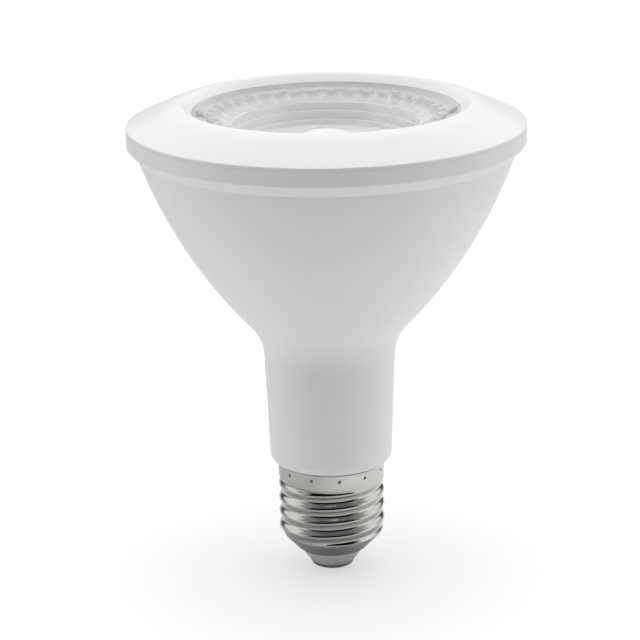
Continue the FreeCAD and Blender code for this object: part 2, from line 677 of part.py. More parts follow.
def housing():
    body = new_body("housing")
    turn(body, "housing_outside", [
        (0, "spigot_foot"),
        ("spigot_radius", "spigot_foot"),
        ("spigot_radius", "shoulder_height"),
        ("shoulder_radius", "shoulder_height"),
        (neck_radius("neck_foot", 0), "neck_foot", "shoulder_rounding", "left"),
    ] + bowl_outline("neck_foot", 0, "bowl_top")[1:] + [
        ("rim_radius", "flange_foot"),
        ("rim_radius", "seam_height"),
        (0, "seam_height"),
    ])
    turn(body, "housing_inside", [
        (0, "board_seat"),
    ] + bowl_outline("board_seat", "neck_wall", "bowl_top - bowl_wall") + [
        (bowl_radius("bowl_top - bowl_wall", "neck_wall"), "ledge_height"),
        ("flange_bore", "ledge_height"),
        ("flange_bore", "seam_height"),
        (0, "seam_height"),
    ], "PartDesign::Groove")
    turn(body, "housing_spigot_bore", [
        (0, "spigot_foot"),
        ("spigot_radius - spigot_wall", "spigot_foot"),
        ("spigot_radius - spigot_wall", "board_seat"),
        (0, "board_seat"),
    ], "PartDesign::Groove")
    near = "board_face + board_fit"
    far = "board_face + board_fit + rib_thickness"
    reach = "board_half_width - rib_grip"
    buried = "neck_foot_radius - 0.2 * neck_wall"
    ribs = [
        rectangle(reach, near, buried, far),
        rectangle("-(%s)" % buried, near, "-(%s)" % reach, far),
        rectangle(reach, "-(%s)" % far, buried, "-(%s)" % near),
        rectangle("-(%s)" % buried, "-(%s)" % far, "-(%s)" % reach, "-(%s)" % near),
    ]
    pad(body, "housing_ribs", ribs, "board_seat", "rib_length")
    document.recompute()
    dent = body.newObject("PartDesign::SubtractiveCylinder", "housing_dent")
    dent.setExpression("Radius", tied("crimp_radius"))
    dent.setExpression("Height", tied("2 * crimp_depth"))
    attach(dent, body, "spigot_radius - crimp_depth", "crimp_height", 90, "crimp_turn")
    document.recompute()
    pattern(body, dent, "housing_dents", crimp_count)
    return body


# Heat sink and light source

screw_count = 3


def screw_places():
    """Places of the board screws, clear of the two leads."""
    for index in range(screw_count):
        angle = 90 + 360 / screw_count * index
        yield "screw_circle * cos(%g)" % angle, "screw_circle * sin(%g)" % angle


def lead_places():
    return [("lead_offset", "-lead_line"), ("-lead_offset", "-lead_line")]


def round_holes(body, name, top, depth, lead_gap):
    """Holes for both leads and for every board screw."""
    holes = [(across, back, "lead_radius + " + lead_gap) for across, back in lead_places()]
    holes += [(across, back, "screw_radius + screw_fit") for across, back in screw_places()]
    return pocket(body, name, top, depth, holes)


def heat_sink():
    rim = "flange_bore - sink_fit"
    gap = "neck_wall + sink_fit"
    floor_radius = bowl_radius("sink_floor", gap)
    wall_top = bowl_radius("bowl_top - bowl_wall", gap)
    body = turned("heat_sink", [
        (0, "sink_floor - sink_sheet"),
        (floor_radius + " - sink_bend", "sink_floor - sink_sheet"),
        (floor_radius, "sink_floor + sink_bend"),
        (wall_top, "ledge_height - sink_sheet"),
        (wall_top, "ledge_height"),
        (rim, "ledge_height"),
        (rim, "ledge_height + sink_sheet"),
        (wall_top + " - sink_sheet", "ledge_height + sink_sheet"),
        (wall_top + " - sink_sheet", "ledge_height - sink_sheet"),
        (floor_radius + " - sink_sheet", "sink_floor + sink_bend"),
        (floor_radius + " - sink_sheet - sink_bend", "sink_floor"),
        (0, "sink_floor"),
    ])
    round_holes(body, "heat_sink_holes", "sink_floor", "2 * sink_sheet", "lead_hole_fit")
    return body


def thermal_pad():
    body = turned("thermal_pad", [
        (0, "sink_floor"),
        ("pad_radius", "sink_floor"),
        ("pad_radius", "pad_top"),
        (0, "pad_top"),
    ])
    round_holes(body, "thermal_pad_holes", "pad_top", "2 * pad_thickness", "lead_hole_fit")
    return body


def led_board():
    body = turned("led_board", [
        (0, "pad_top"),
        ("led_board_radius", "pad_top"),
        ("led_board_radius", "led_board_top"),
        (0, "led_board_top"),
    ])
    round_holes(body, "led_board_holes", "led_board_top", "2 * led_board_thickness",
                "lead_hole_fit * 2 / 3")
    return body


def emitter_dam():
    top = "led_board_top + dam_height"
    middle = "dam_radius - dam_width / 2"
    return turned("emitter_dam", [
        ("dam_radius - dam_width", "led_board_top"),
        ("dam_radius", "led_board_top"),
        ("dam_radius", top + " - dam_width / 2"),
        (middle, top, "dam_width / 2", "left"),
        ("dam_radius - dam_width", top + " - dam_width / 2", "dam_width / 2", "left"),
    ])


def phosphor_fill():
    top = "led_board_top + phosphor_height"
    return turned("phosphor_fill", [
        (0, "led_board_top"),
        ("dam_radius - dam_width", "led_board_top"),
        ("dam_radius - dam_width", top + " - dam_width / 2"),
        ("dam_radius - 1.5 * dam_width", top),
        (0, top),
    ])


def board_screws():
    """Pan-head screws through board and pad into the heat sink, with cross recesses."""
    forms = []
    recess_depth = "0.45 * screw_head_height"
    recess_foot = "led_board_top + screw_head_height - " + recess_depth
    long_side = "1.3 * screw_head_radius"
    short_side = "0.3 * screw_head_radius"
    for index, (across, back) in enumerate(screw_places()):
        shank = cylinder("screw_shank_%d" % index, "screw_radius", "screw_length")
        place(shank, across, back, "led_board_top - screw_length")
        head = cylinder("screw_head_%d" % index, "screw_head_radius", "screw_head_height")
        place(head, across, back, "led_board_top")
        whole = document.addObject("Part::Fuse", "screw_blank_%d" % index)
        whole.Base = shank
        whole.Tool = head
        recess = document.addObject("Part::MultiFuse", "screw_recess_%d" % index)
        recess.Shapes = [
            block("screw_slot_%d" % index, long_side, short_side, "screw_head_height",
                  across, back, recess_foot),
            block("screw_cross_%d" % index, short_side, long_side, "screw_head_height",
                  across, back, recess_foot),
        ]
        screw = document.addObject("Part::Cut", "screw_form_%d" % index)
        screw.Base = whole
        screw.Tool = recess
        forms.append(screw)
    return group("board_screws", forms)


# Simple solids

def cylinder(name, radius, height):
    solid = document.addObject("Part::Cylinder", name)
    solid.setExpression("Radius", tied(radius))
    solid.setExpression("Height", tied(height))
    return solid


def block(name, across, back, up, x, y, foot):
    """Box of the named sizes, centred on x and y and standing on the height foot."""
    solid = document.addObject("Part::Box", name)
    solid.setExpression("Length", tied(across))
    solid.setExpression("Width", tied(back))
    solid.setExpression("Height", tied(up))
    return place(solid, "(%s) - (%s) / 2" % (x, across), "(%s) - (%s) / 2" % (y, back), foot)


def group(label, pieces, kind="Part::Compound"):
    whole = document.addObject(kind, label)
    whole.Label = label
    if kind == "Part::Compound":
        whole.Links = pieces
    else:
        whole.Shapes = pieces
    return whole


# Lens

def tread_points(radius, height):
    """Tread from its outer edge at that radius to the rounded edge of the riser below it."""
    edge = radius + " - tread_width"
    return [
        (radius, height),
        (edge + " + tread_edge", height),
        (edge, height + " - tread_edge", "tread_edge", "left"),
    ]


def lens():
    """Clear lens: plain outer ring, ring of beads, fluted wall, and risers down to a floor with a bump."""
    body = new_body("lens")
    rim = "flange_bore - sink_fit"
    cone_foot = "skirt_radius - skirt_wall - lens_cone_gap"
    bump_edge_radius = "(bump_radius - riser_lean)"
    bump_curve = "(%s^2 + bump_rise^2) / (2 * bump_rise)" % bump_edge_radius
    turn(body, "lens_turning", [
        (0, "bump_foot - lens_wall"),
        ("floor_radius + lens_wall / 2", "lens_floor - lens_wall"),
        ("flute_foot_radius + 0.8 * lens_wall", "flute_foot - lens_wall"),
        ("bead_circle", "flute_top - lens_wall"),
        ("lens_shoulder - lens_wall / 2", "lens_top - lens_wall"),
        (cone_foot + " - lens_wall", "lens_seat"),
        (rim, "lens_seat"),
        (rim, "flange_top"),
        (cone_foot, "flange_top"),
        ("lens_shoulder", "lens_top"),
        ("dish_radius", "lens_top"),
        ("dish_foot_radius", "bead_seat"),
        ("flute_top_radius", "flute_top"),
    ] + tread_points("flute_foot_radius", "flute_foot")
      + tread_points("middle_tread_radius", "middle_tread")
      + tread_points("lower_tread_radius", "lower_tread") + [
        ("floor_radius", "lens_floor"),
        ("bump_radius", "bump_foot"),
        (bump_edge_radius, "bump_edge"),
        (0, "bump_edge + bump_rise", bump_curve, "left"),
    ])
    bead = body.newObject("PartDesign::AdditiveSphere", "lens_bead")
    bead.setExpression("Radius", tied("bead_curve"))
    bead.setExpression("Angle1", tied("bead_cut"))
    attach(bead, body, "bead_circle", "bead_seat - bead_fall / 2 + bead_rise - bead_curve", 0, "bead_turn")
    document.recompute()
    pattern(body, bead, "lens_beads", "bead_count")
    document.recompute()
    flute = body.newObject("PartDesign::SubtractiveCylinder", "lens_flute")
    flute.setExpression("Radius", tied("flute_radius"))
    overrun = 1.25
    slope = "sqrt(flute_fall^2 + flute_run^2)"
    flute.setExpression("Height", tied("%g * %s" % (overrun, slope)))
    lift = "(flute_radius - flute_depth)"
    attach(
        flute, body,
        "flute_foot_radius - %s * flute_fall / %s" % (lift, slope),
        "flute_foot + %s * flute_run / %s" % (lift, slope),
        math.degrees(math.atan2(number("flute_run"), number("flute_fall"))),
        "bead_turn + 180 / bead_count",
    )
    document.recompute()
    pattern(body, flute, "lens_flutes", "bead_count")
    return body


# Bezel

def bezel_ring():
    """Trim ring: sloped face, rounded crown, and a skirt that stands on the lens flange."""
    slope_end = "crown_height - crown_rounding * (1 - slope_cosine)"
    slope_radius = "crown_radius + crown_rounding * slope_sine"
    inner = "crown_rounding - bezel_wall"
    inner_end = "%s - bezel_wall * slope_cosine" % slope_end
    inner_radius = "%s - bezel_wall * slope_sine" % slope_radius
    inside = "skirt_radius - skirt_wall"
    inside_rise = "(rim_radius - (%s)) * slope_sine / slope_cosine" % inside
    inside_height = "bezel_shoulder - bezel_wall / slope_cosine + " + inside_rise
    return turned("bezel_ring", [
        ("rim_radius", "seam_height"),
        ("rim_radius", "bezel_shoulder - bezel_edge"),
        ("rim_radius - bezel_edge", "bezel_shoulder + bezel_edge * slope_sine / slope_cosine",
         "bezel_edge * 1.3", "left"),
        (slope_radius, slope_end),
        ("crown_radius", "crown_height", "crown_rounding", "left"),
        ("aperture_radius + aperture_rounding", "crown_height"),
        ("aperture_radius", "crown_height - aperture_rounding", "aperture_rounding", "left"),
        ("aperture_radius", "crown_height - bezel_wall"),
        ("crown_radius", "crown_height - bezel_wall"),
        (inner_radius, inner_end, inner, "right"),
        (inside, inside_height),
        (inside, "flange_top"),
        ("skirt_radius", "flange_top"),
        ("skirt_radius", "seam_height"),
    ])


# Driver

def board_outline():
    return [
        ("tongue_half_width", "tongue_foot"),
        ("tongue_half_width", "board_seat"),
        ("board_half_width", "board_seat"),
        ("board_half_width", "board_top"),
        ("-board_half_width", "board_top"),
        ("-board_half_width", "board_seat"),
        ("-tongue_half_width", "board_seat"),
        ("-tongue_half_width", "tongue_foot"),
    ]


def upright_pad(body, name, outlines, thickness):
    """Pad outlines drawn in the X Z plane by half the thickness to each side."""
    sketch = new_sketch(body, name + "_outline")
    for outline in outlines:
        draw(sketch, outline)
    feature = body.newObject("PartDesign::Pad", name)
    feature.Profile = sketch
    feature.Midplane = True
    feature.setExpression("Length", tied(thickness))
    return feature


def driver_board():
    body = new_body("driver_board")
    upright_pad(body, "driver_board_pad", [board_outline()], "board_thickness")
    return body


def capacitor(label, radius, length, foot):
    """Round can with the crimp near its base, lying along the front of the board."""
    neck = "%s - can_crimp" % radius
    body = turned(label, [
        (0, 0),
        ("%s - can_rounding" % radius, 0),
        (radius, "can_rounding", "can_rounding", "left"),
        (radius, "0.10 * %s" % length),
        (neck, "0.12 * %s" % length),
        (neck, "0.15 * %s" % length),
        (radius, "0.17 * %s" % length),
        (radius, "%s - 1.5 * can_rounding" % length),
        ("%s - 1.5 * can_rounding" % radius, length, "1.5 * can_rounding", "left"),
        (0, length),
    ])
    return place(body, 0, "-(board_face + %s + lead_fit)" % radius, foot)


def film_capacitor():
    case = block("film_case", "film_length", "film_height", "film_width", 0,
                 "board_face + film_height / 2", "film_station")
    rounded = document.addObject("Part::Fillet", "film_capacitor")
    rounded.Label = "film_capacitor"
    rounded.Base = case
    document.recompute()
    edges = [index + 1 for index, edge in enumerate(case.Shape.Edges)
             if edge.BoundBox.YMin > number("board_thickness")]
    rounding = number("film_rounding")
    rounded.Edges = [(edge, rounding, rounding) for edge in edges]
    return rounded


def on_transformer(body):
    return place(body, 0, "transformer_line", "transformer_station")


def frame(half_width, half_height):
    return rectangle("-(%s)" % half_width, "-(%s)" % half_height, half_width, half_height)


def transformer_core():
    """Two E halves joined: a frame with a centre leg."""
    body = new_body("transformer_core")
    leg = "core_centre / 2"
    side = "core_window / 2"
    right = rectangle(leg, "-(%s)" % side, side, side)
    left = rectangle("-(%s)" % side, "-(%s)" % side, "-(%s)" % leg, side)
    outline = frame("core_size / 2", "core_size / 2")
    upright_pad(body, "transformer_core_pad", [outline, right, left], "core_depth")
    return on_transformer(body)


def leg_sides(gap):
    return ("core_centre / 2 + %s" % gap, "core_depth / 2 + %s" % gap)


def ring_pad(body, name, inner, outer, foot, length):
    """Pad a rectangular ring around the transformer's centre leg, between two gaps from it."""
    outlines = [frame(*leg_sides(outer)), frame(*leg_sides(inner))]
    return pad(body, name, outlines, foot, length)


def transformer_bobbin():
    body = new_body("transformer_bobbin")
    half = "(core_window / 2 - 2 * winding_fit)"
    flange = "bobbin_wall + winding_depth"
    ring_pad(body, "bobbin_barrel", "winding_fit", "bobbin_wall", "-" + half, "2 * " + half)
    ring_pad(body, "bobbin_foot", "winding_fit", flange, "-" + half, "bobbin_wall")
    ring_pad(body, "bobbin_head", "winding_fit", flange, half + " - bobbin_wall", "bobbin_wall")
    return on_transformer(body)


def transformer_winding():
    body = new_body("transformer_winding")
    half = "(core_window / 2 - 3 * winding_fit - bobbin_wall)"
    outer = "bobbin_wall + winding_depth - 4 * winding_fit"
    ring_pad(body, "winding_pad", "bobbin_wall + winding_fit", outer, "-" + half, "2 * " + half)
    return on_transformer(body)


def choke_core():
    """Spool of ferrite standing off the front of the board."""
    body = turned("choke_core", [
        (0, 0),
        ("choke_radius", 0),
        ("choke_radius", "choke_flange"),
        ("choke_barrel", "choke_flange"),
        ("choke_barrel", "choke_height - choke_flange"),
        ("choke_radius", "choke_height - choke_flange"),
        ("choke_radius", "choke_height"),
        (0, "choke_height"),
    ])
    return place(body, 0, "-board_face", "choke_station", 90)


def choke_winding():
    outer = "choke_barrel + choke_winding_depth"
    foot = "choke_flange + winding_fit"
    head = "choke_height - choke_flange - winding_fit"
    body = turned("choke_winding", [
        ("choke_barrel + winding_fit", foot),
        (outer, foot),
        (outer, head),
        ("choke_barrel + winding_fit", head),
    ])
    return place(body, 0, "-board_face", "choke_station", 90)


def varistor():
    """Coated disc lying flat on the board."""
    edge = "varistor_thickness / 3"
    body = turned("varistor", [
        (0, 0),
        ("varistor_radius - " + edge, 0),
        ("varistor_radius", edge, edge, "left"),
        ("varistor_radius", "varistor_thickness - " + edge),
        ("varistor_radius - " + edge, "varistor_thickness", edge, "left"),
        (0, "varistor_thickness"),
    ])
    return place(body, "-varistor_offset", "-board_face", "varistor_station", 90)


def fuse_resistor():
    """Dog-bone resistor body lying along the tongue of the board."""
    waist = "0.85 * fuse_radius"
    rounding = "fuse_radius / 4"
    slope = "0.4 * fuse_cap"
    body = turned("fuse_resistor", [
        (0, 0),
        ("fuse_radius - " + rounding, 0),
        ("fuse_radius", rounding, rounding, "left"),
        ("fuse_radius", "fuse_cap"),
        (waist, "fuse_cap + " + slope),
        (waist, "fuse_length - fuse_cap - " + slope),
        ("fuse_radius", "fuse_length - fuse_cap"),
        ("fuse_radius", "fuse_length - " + rounding),
        ("fuse_radius - " + rounding, "fuse_length", rounding, "left"),
        (0, "fuse_length"),
    ])
    return place(body, "-fuse_offset", "-(board_face + fuse_radius + lead_fit)", "fuse_station")


def chip(label, width, length, height, legs, pitch, across, station):
    """Moulded package on the back of the board, with bent legs along both of its sides."""
    case_line = "board_face + package_gap + (%s) / 2" % height
    knee = "0.3 * leg_reach"
    case_foot = "%s - (%s) / 2" % (station, length)
    pieces = [block(label + "_case", width, height, length, across, case_line, case_foot)]
    for side in ("-1", "1"):
        for index in range(legs):
            foot = "%s + %g * (%s) - leg_width / 2" % (station, index - (legs - 1) / 2, pitch)
            foot_middle = "(%s) + %s * ((%s) / 2 + leg_reach / 2)" % (across, side, width)
            knee_middle = "(%s) + %s * ((%s) / 2 + %s / 2)" % (across, side, width, knee)
            pieces.append(block("%s_leg_%d" % (label, len(pieces)), "leg_reach", "leg_sheet", "leg_width",
                                foot_middle, "board_face + leg_sheet / 2", foot))
            pieces.append(block("%s_knee_%d" % (label, len(pieces)), knee, "(%s) / 2" % height, "leg_width",
                                knee_middle, "board_face + (%s) / 4" % height, foot))
    return group(label, pieces, "Part::MultiFuse")


def bridge_rectifier():
    return chip("bridge_rectifier", "package_width", "bridge_length", "bridge_height", 2,
                "bridge_pitch", 0, "bridge_station")


def control_chip():
    return chip("control_chip", "package_width", "chip_length", "chip_height", 4, "chip_pitch", 0,
                "chip_station")


def output_diode():
    return chip("output_diode", "diode_width", "diode_length", "diode_height", 1, 0, "-diode_offset",
                "diode_station")


def chip_resistors():
    """Small chip resistors in two columns beside the control chip."""
    pieces = []
    rows = 4
    for column in ("-resistor_offset", "resistor_offset"):
        for index in range(rows):
            foot = "chip_station + %g * resistor_pitch" % (index - rows / 2)
            pieces.append(block("chip_resistor_%d" % len(pieces), "resistor_length", "resistor_height",
                                "resistor_width", column, "board_face + resistor_height / 2", foot))
    return group("chip_resistors", pieces)


# Leads

def bent_lead(label, role, aside, start, corners):
    """Round lead along a flat path; aside shifts the path's plane along its own normal."""
    body = new_body(label)
    path = new_sketch(body, label + "_path", role)
    path.setExpression(".AttachmentOffset.Base.z", tied(aside))
    draw(path, corners, closed=False)
    section = new_sketch(body, label + "_section", "XY_Plane")
    section.setExpression(".AttachmentOffset.Base.z", tied(corners[0][1]))
    circle(section, start[0], start[1], "lead_radius")
    document.recompute()
    pipe = body.newObject("PartDesign::AdditivePipe", label + "_pipe")
    pipe.Profile = section
    pipe.Spine = path
    return body


def live_lead():
    """From the bore of the contact up to the front of the board's tongue."""
    rise = "sqrt(lead_bend * lead_line - lead_line^2 / 4)"
    bend_foot = "stem_top + lead_bend / 2"
    return bent_lead("live_lead", "YZ_Plane", "0", (0, 0), [
        (0, "contact_thickness + lead_fit"),
        (0, bend_foot),
        ("-lead_line / 2", "%s + %s" % (bend_foot, rise), "lead_bend", "left"),
        ("-lead_line", "%s + 2 * %s" % (bend_foot, rise), "lead_bend", "right"),
        ("-lead_line", "tongue_foot + lead_joint"),
    ])


def shell_lead():
    """From the front of the tongue down and out to the inside of the screw shell."""
    across = "(tongue_half_width - shell_lead_margin)"
    level = "(spigot_foot - lead_joint)"
    return bent_lead("shell_lead", "XZ_Plane", "lead_line", (across, "-lead_line"), [
        (across, level + " + lead_bend + lead_joint"),
        (across, level + " + lead_bend"),
        (across + " + lead_bend", level, "lead_bend", "left"),
        ("crest_radius - thread_depth - 2 * sheet", level),
    ])


def led_lead(label, across):
    """Straight lead from the driver board up through the light source board."""
    foot = "(board_top - lead_joint)"
    lead = cylinder(label, "lead_radius", "led_board_top + lead_radius - " + foot)
    lead.Label = label
    return place(lead, across, "-lead_line", foot)


PIECES = [
    centre_contact(),
    cap_insulator(),
    screw_shell(),
    housing(),
    heat_sink(),
    thermal_pad(),
    led_board(),
    emitter_dam(),
    phosphor_fill(),
    board_screws(),
    lens(),
    bezel_ring(),
    driver_board(),
    capacitor("bulk_capacitor", "bulk_radius", "bulk_length", "bulk_station"),
    capacitor("output_capacitor", "output_radius", "output_length", "output_station"),
    film_capacitor(),
    transformer_core(),
    transformer_bobbin(),
    transformer_winding(),
    choke_core(),
    choke_winding(),
    varistor(),
    fuse_resistor(),
    bridge_rectifier(),
    control_chip(),
    output_diode(),
    chip_resistors(),
    live_lead(),
    shell_lead(),
    led_lead("led_lead_positive", "lead_offset"),
    led_lead("led_lead_negative", "-lead_offset"),
]


document.recompute()
for item in document.Objects:
    if "Invalid" in item.State or "Error" in item.State:
        raise RuntimeError("%s did not build: %s" % (item.Name, item.State))
for piece in PIECES:
    if piece.Shape.isNull() or not piece.Shape.isValid():
        raise RuntimeError(piece.Label + " has no valid shape")

os.makedirs("parts", exist_ok=True)
for piece in PIECES:
    piece.Shape.exportStep("parts/%s.step" % piece.Label)
    print("%-22s %2d solids %10.2f mm3" % (piece.Label, len(piece.Shape.Solids), piece.Shape.Volume))
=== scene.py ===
from math import atan2, cos, pi, radians, sin, sqrt, tan

import bpy
from mathutils import Matrix, Vector


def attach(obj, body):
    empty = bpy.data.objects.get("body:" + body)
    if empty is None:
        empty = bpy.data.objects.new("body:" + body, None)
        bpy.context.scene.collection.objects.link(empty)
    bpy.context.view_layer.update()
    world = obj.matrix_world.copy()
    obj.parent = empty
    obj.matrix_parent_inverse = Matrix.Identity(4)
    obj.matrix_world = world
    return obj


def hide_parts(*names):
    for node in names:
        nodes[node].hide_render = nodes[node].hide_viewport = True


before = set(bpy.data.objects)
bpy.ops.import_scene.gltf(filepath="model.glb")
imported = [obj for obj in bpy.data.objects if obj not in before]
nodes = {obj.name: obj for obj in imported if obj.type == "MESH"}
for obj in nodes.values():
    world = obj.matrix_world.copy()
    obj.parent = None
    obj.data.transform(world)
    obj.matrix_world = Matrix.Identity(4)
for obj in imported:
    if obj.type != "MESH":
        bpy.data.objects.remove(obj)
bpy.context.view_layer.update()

MM = 0.001

# Camera of the photograph: a level tripod well in front of the bulb, looking down at its rim.
IMAGE_WIDTH = 640
FOCAL_PIXELS = 2336.4
SENSOR_WIDTH = 36.0
CAMERA_PLACE = Vector((0.0, -542.9, 232.86)) * MM
CAMERA_PITCH = radians(17.334)
CAMERA_YAW = radians(-0.236)
CAMERA_ROLL = radians(-0.929)
NEAREST_SEEN = 10.0 * MM

# Studio: a pale sweep under a white tent with a lit panel at each side, open and dark where the
# camera stands. The tent has a low band, a middle band and a top. Each band's brightness goes by
# degrees round the bulb from the camera's side, and heights go from 0 (level) to 1 (overhead).
FLOOR_RADIUS = 6.0
# Painted light: for light the floor is painted paler near the bulb, a painted pool of light, going
# to its far colour between NEAR_REACH and FAR_REACH.
FLOOR_NEAR_PAINTED_LIGHT = (0.92, 0.92, 0.92)
FLOOR_FAR_COLOUR = (0.46, 0.46, 0.46)
NEAR_REACH = 0.11
FAR_REACH = 0.36
BACKDROP_WHITE = (1.0, 1.0, 1.0)
TENT_LOW = [
    (0, 0.01), (46, 0.01), (56, 0.50), (70, 1.90), (84, 2.30), (104, 1.95), (118, 0.60),
    (134, 0.22), (180, 0.22),
]
TENT_MIDDLE = [(0, 0.26), (40, 0.29), (62, 0.55), (80, 0.66), (100, 0.64), (130, 0.86), (180, 1.20)]
TENT_TOP = 3.15
MIDDLE_START = 0.38
MIDDLE_END = 0.50
MIDDLE_DROP_BEHIND = 0.28
TOP_START = 0.84
TOP_END = 0.98
# The whole tent's level, and by how much it rises to the right and falls to the left
TENT_LEVEL = 1.06
SIDE_SHARE = 0.05
# Reflections show the tent about half as bright, with the dark front reaching higher, and plain
# white behind the bulb above the low band.
REFLECTED_SHARE = 0.51
FRONT_RAISE = 0.22
FRONT_END = 0.28
BEHIND_START = 0.42
BEHIND_END = 0.55
BEHIND_HEIGHT = 0.22
BEHIND_EDGE = 0.06


def place_camera():
    """The camera with the photograph's place, tilt and focal length."""
    ahead = Vector((
        sin(CAMERA_YAW) * cos(CAMERA_PITCH),
        cos(CAMERA_YAW) * cos(CAMERA_PITCH),
        -sin(CAMERA_PITCH),
    ))
    level = Vector((cos(CAMERA_YAW), -sin(CAMERA_YAW), 0.0))
    upright = level.cross(ahead)
    right = level * cos(CAMERA_ROLL) + upright * sin(CAMERA_ROLL)
    up = upright * cos(CAMERA_ROLL) - level * sin(CAMERA_ROLL)
    data = bpy.data.cameras.new("camera")
    data.sensor_width = SENSOR_WIDTH
    data.lens = FOCAL_PIXELS / IMAGE_WIDTH * SENSOR_WIDTH
    data.clip_start = NEAREST_SEEN
    camera = bpy.data.objects.new("camera", data)
    bpy.context.collection.objects.link(camera)
    turn = Matrix((right, up, -ahead)).transposed().to_4x4()
    camera.matrix_world = Matrix.Translation(CAMERA_PLACE) @ turn
    bpy.context.scene.camera = camera


class Tree:
    """A material or world node tree, with short calls for the nodes that the finishes use."""

    def __init__(self, owner):
        owner.use_nodes = True
        self.tree = owner.node_tree
        self.tree.nodes.clear()

    def add(self, kind, **settings):
        node = self.tree.nodes.new(kind)
        for name, value in settings.items():
            setattr(node, name, value)
        return node

    def link(self, source, target):
        self.tree.links.new(source, target)

    def put(self, socket, value):
        """Sets a socket to a number or colour, or links it to another socket."""
        if isinstance(value, bpy.types.NodeSocket):
            self.link(value, socket)
        elif isinstance(value, tuple) and len(value) == 3 and len(socket.default_value) == 4:
            socket.default_value = (*value, 1.0)
        else:
            socket.default_value = value

    def math(self, operation, *values):
        node = self.add("ShaderNodeMath", operation=operation)
        for socket, value in zip(node.inputs, values):
            self.put(socket, value)
        return node.outputs[0]

    def place(self):
        return self.add("ShaderNodeTexCoord").outputs["Object"]

    def stretched(self, vector, scale):
        node = self.add("ShaderNodeMapping")
        self.put(node.inputs["Vector"], vector)
        node.inputs["Scale"].default_value = scale
        return node.outputs[0]

    def split(self, vector):
        node = self.add("ShaderNodeSeparateXYZ")
        self.put(node.inputs[0], vector)
        return node.outputs

    def joined(self, x, y, z):
        node = self.add("ShaderNodeCombineXYZ")
        for socket, value in zip(node.inputs, (x, y, z)):
            self.put(socket, value)
        return node.outputs[0]

    def reach(self, x, y):
        """Distance from the bulb's axis."""
        squares = self.math("ADD", self.math("MULTIPLY", x, x), self.math("MULTIPLY", y, y))
        return self.math("SQRT", squares)

    def round_place(self):
        """Turn about the bulb's axis in radians, distance from it, and height, as one vector."""
        x, y, z = self.split(self.place())
        return self.joined(self.math("ARCTAN2", y, x), self.reach(x, y), z)

    def front_turn(self, x, y):
        """Turn from the camera's side, from 0 in front to 1 behind."""
        turn = self.math("ARCTAN2", x, self.math("MULTIPLY", y, -1.0))
        return self.math("DIVIDE", self.math("ABSOLUTE", turn), pi)

    def noise(self, vector, scale, detail=4.0, roughness=0.55):
        node = self.add("ShaderNodeTexNoise")
        self.put(node.inputs["Vector"], vector)
        node.inputs["Scale"].default_value = scale
        node.inputs["Detail"].default_value = detail
        node.inputs["Roughness"].default_value = roughness
        return node.outputs[0]

    def spread(self, value, low, high, start=0.0, end=1.0):
        """The value's range from start to end, taken to the range from low to high."""
        node = self.add("ShaderNodeMapRange")
        self.put(node.inputs["Value"], value)
        node.inputs["From Min"].default_value = start
        node.inputs["From Max"].default_value = end
        node.inputs["To Min"].default_value = low
        node.inputs["To Max"].default_value = high
        return node.outputs[0]

    def risen(self, value, start, end):
        """Smooth step from 0 to 1 between two values."""
        step = self.add("ShaderNodeMapRange", interpolation_type="SMOOTHSTEP")
        self.put(step.inputs["Value"], value)
        step.inputs["From Min"].default_value = start
        step.inputs["From Max"].default_value = end
        return step.outputs[0]

    def blended(self, share, one, other):
        node = self.add("ShaderNodeMix", data_type="RGBA")
        self.put(node.inputs["Factor"], share)
        self.put(node.inputs[6], one)
        self.put(node.inputs[7], other)
        return node.outputs[2]

    def scaled(self, colour, share):
        node = self.add("ShaderNodeVectorMath", operation="SCALE")
        self.put(node.inputs[0], colour)
        self.put(node.inputs["Scale"], share)
        return node.outputs[0]

    def bump(self, height, distance):
        node = self.add("ShaderNodeBump")
        self.put(node.inputs["Height"], height)
        node.inputs["Distance"].default_value = distance
        return node.outputs[0]

    def plain_view(self, path, more=0.0):
        """1 for rays from the camera, through clear matter and those that more adds, else 0."""
        shown = self.math("ADD", path.outputs["Is Camera Ray"], path.outputs["Is Transmission Ray"])
        return self.math("MINIMUM", self.math("ADD", shown, more), 1.0)

    def surface(self, shader):
        self.link(shader, self.add("ShaderNodeOutputMaterial").inputs["Surface"])

    def principled(self, **values):
        node = self.add("ShaderNodeBsdfPrincipled")
        for name, value in values.items():
            self.put(node.inputs[name.replace("_", " ")], value)
        self.surface(node.outputs[0])


def finish_material(name):
    material = bpy.data.materials.new(name)
    return material, Tree(material)


# Where a mottled finish varies, its noise lies mostly between these two values.
NOISE_LOW = 0.32
NOISE_HIGH = 0.68


def mottled(name, light, dark, scale, rough, grain, metallic=0.0, grain_scale=None):
    """A finish whose colour and gloss drift slowly, with a fine grain raised by so many metres."""
    material, tree = finish_material(name)
    drift = tree.noise(tree.place(), scale)
    fine = tree.noise(tree.place(), grain_scale or scale * 12, 3.0)
    share = tree.spread(drift, 0.0, 1.0, NOISE_LOW, NOISE_HIGH)
    tree.principled(
        Base_Color=tree.blended(share, light, dark),
        Roughness=tree.spread(drift, rough[0], rough[1], NOISE_LOW, NOISE_HIGH),
        Metallic=metallic,
        Normal=tree.bump(fine, grain),
    )
    return material


def housing_finish():
    """White moulded polycarbonate with a fine spark-eroded grain."""
    return mottled(
        "housing_white", (0.820, 0.820, 0.818), (0.806, 0.807, 0.806), 45.0, (0.42, 0.50), 3e-6,
        grain_scale=2600.0,
    )


def bezel_finish():
    """White moulded ring, a little glossier than the housing."""
    return mottled(
        "bezel_white", (0.845, 0.845, 0.845), (0.832, 0.833, 0.834), 45.0, (0.30, 0.37), 1.5e-6,
        grain_scale=2200.0,
    )


# The lens is pale in its dish, and painted deeper in tone in the ring of beads and flutes round it:
# painted shade.
LENS_DISH = 24.0 * MM
LENS_RING = 26.0 * MM
DISH_COLOUR = (0.994, 0.995, 0.990)
RING_PAINTED_SHADE_COLOUR = (0.500, 0.502, 0.497)
# What is left of the lens for matt light
MATT_ALPHA = 0.12


